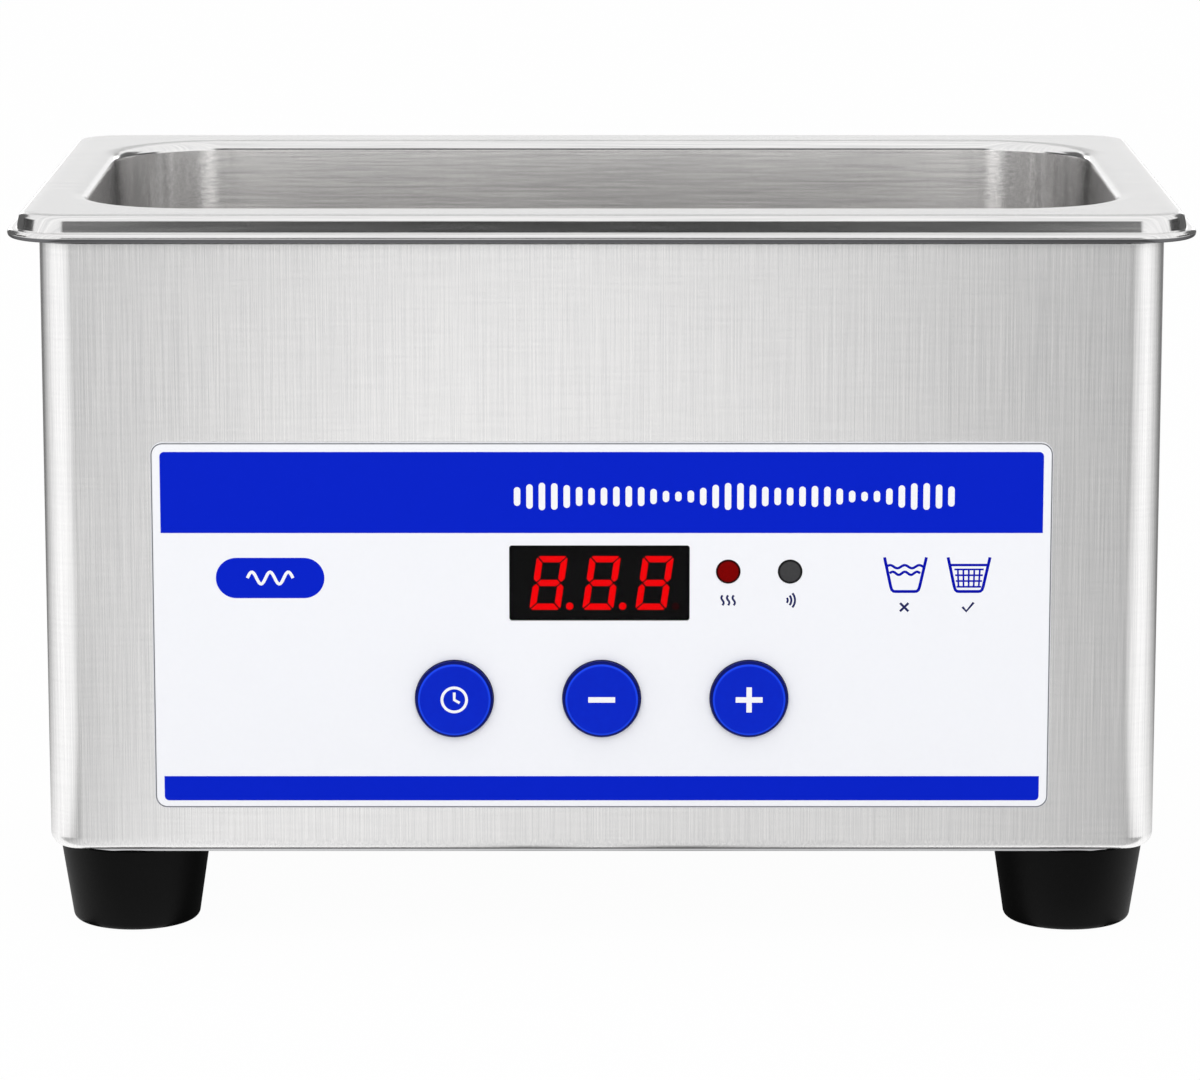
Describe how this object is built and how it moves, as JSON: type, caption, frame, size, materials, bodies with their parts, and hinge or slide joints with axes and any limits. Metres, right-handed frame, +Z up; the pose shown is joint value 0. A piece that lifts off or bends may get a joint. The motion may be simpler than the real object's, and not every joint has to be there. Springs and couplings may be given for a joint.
{
  "type": "ultrasonic cleaner",
  "caption": "Bench-top ultrasonic bath for jewellery: a drawn steel tank in a brushed steel housing on rubber feet, with a keyed control panel.",
  "frame": {"origin": "on the floor under the middle of the rim", "axes": "+Z up, the control panel faces -Y, +X to the right of someone facing the panel"},
  "size_m": [0.21, 0.128, 0.132],
  "materials": {
    "tank_steel": "fine lengthways brushing, bright on the rounds",
    "housing_steel": "fine upright brushing",
    "base_steel": "plain mill finish",
    "fastener_steel": "bright zinc plate",
    "switch_steel": "tinned",
    "gasket_silicone": "matte",
    "foot_rubber": "satin moulded",
    "panel_print": "fine matte film with blue bands",
    "tinted_lens": "polished, smoked",
    "display_black": "black face with red segments",
    "led_red": "clear coloured epoxy",
    "led_grey": "clear grey epoxy",
    "button_blue": "satin moulded",
    "component_black": "moulded",
    "inlet_black": "fine grained",
    "rocker_black": "satin",
    "board_green": "solder resist",
    "aluminium": "turned",
    "brass": "plain",
    "piezo_ceramic": "fired, unglazed",
    "heater_silicone": "fabric-backed",
    "nylon": "natural",
    "ferrite": "ground",
    "coil_tape": "taped",
    "capacitor_sleeve": "shrunk sleeve"
  },
  "bodies": {
    "cleaner": {"tank": "tank_steel", "rim_gasket": "gasket_silicone", "housing": "housing_steel", "base_plate": "base_steel", "control_panel": "panel_print", "display_lens": "tinted_lens", "display_module": "display_black", "heating_led": "led_red", "ultrasonic_led": "led_grey", "control_board": "board_green", "transducer_front_mass": "aluminium", "piezo_ring_upper": "piezo_ceramic", "piezo_ring_lower": "piezo_ceramic", "electrode_live": "brass", "electrode_return": "brass", "transducer_back_mass": "fastener_steel", "preload_bolt": "fastener_steel", "heater_pad": "heater_silicone", "thermostat": "aluminium", "generator_board": "board_green", "transformer_core": "ferrite", "transformer_coil": "coil_tape", "heat_sink": "aluminium", "power_transistor": "component_black", "filter_capacitor": "capacitor_sleeve", "power_inlet": "inlet_black", "inlet_screw_left": "fastener_steel", "inlet_screw_right": "fastener_steel", "rocker_housing": "inlet_black", "foot_front_left": "foot_rubber", "foot_screw_front_left": "fastener_steel", "standoff_front_left": "nylon", "foot_front_right": "foot_rubber", "foot_screw_front_right": "fastener_steel", "standoff_front_right": "nylon", "foot_rear_left": "foot_rubber", "foot_screw_rear_left": "fastener_steel", "standoff_rear_left": "nylon", "foot_rear_right": "foot_rubber", "foot_screw_rear_right": "fastener_steel", "standoff_rear_right": "nylon", "board_stud_lower_left": "fastener_steel", "board_nut_lower_left": "brass", "board_stud_lower_right": "fastener_steel", "board_nut_lower_right": "brass", "board_stud_upper_left": "fastener_steel", "board_nut_upper_left": "brass", "board_stud_upper_right": "fastener_steel", "board_nut_upper_right": "brass", "set_switch": "switch_steel", "minus_switch": "switch_steel", "plus_switch": "switch_steel"},
    "set_key": {"set_button": "button_blue", "set_plunger": "component_black"},
    "minus_key": {"minus_button": "button_blue", "minus_plunger": "component_black"},
    "plus_key": {"plus_button": "button_blue", "plus_plunger": "component_black"},
    "rocker_key": {"rocker": "rocker_black"}
  },
  "joints": [
    {"name": "set_press", "type": "slide", "parent": "cleaner", "child": "set_key", "axis": [0, 1, 0], "range_m": [0, 0.0005], "stiffness_N_per_m": 1200},
    {"name": "minus_press", "type": "slide", "parent": "cleaner", "child": "minus_key", "axis": [0, 1, 0], "range_m": [0, 0.0005], "stiffness_N_per_m": 1200},
    {"name": "plus_press", "type": "slide", "parent": "cleaner", "child": "plus_key", "axis": [0, 1, 0], "range_m": [0, 0.0005], "stiffness_N_per_m": 1200},
    {"name": "power_rocker", "type": "hinge", "parent": "cleaner", "child": "rocker_key", "pos_m": [0.022, 0.059, 0.0465], "axis": [-1, 0, 0], "range_deg": [0, 18]}
  ]
}
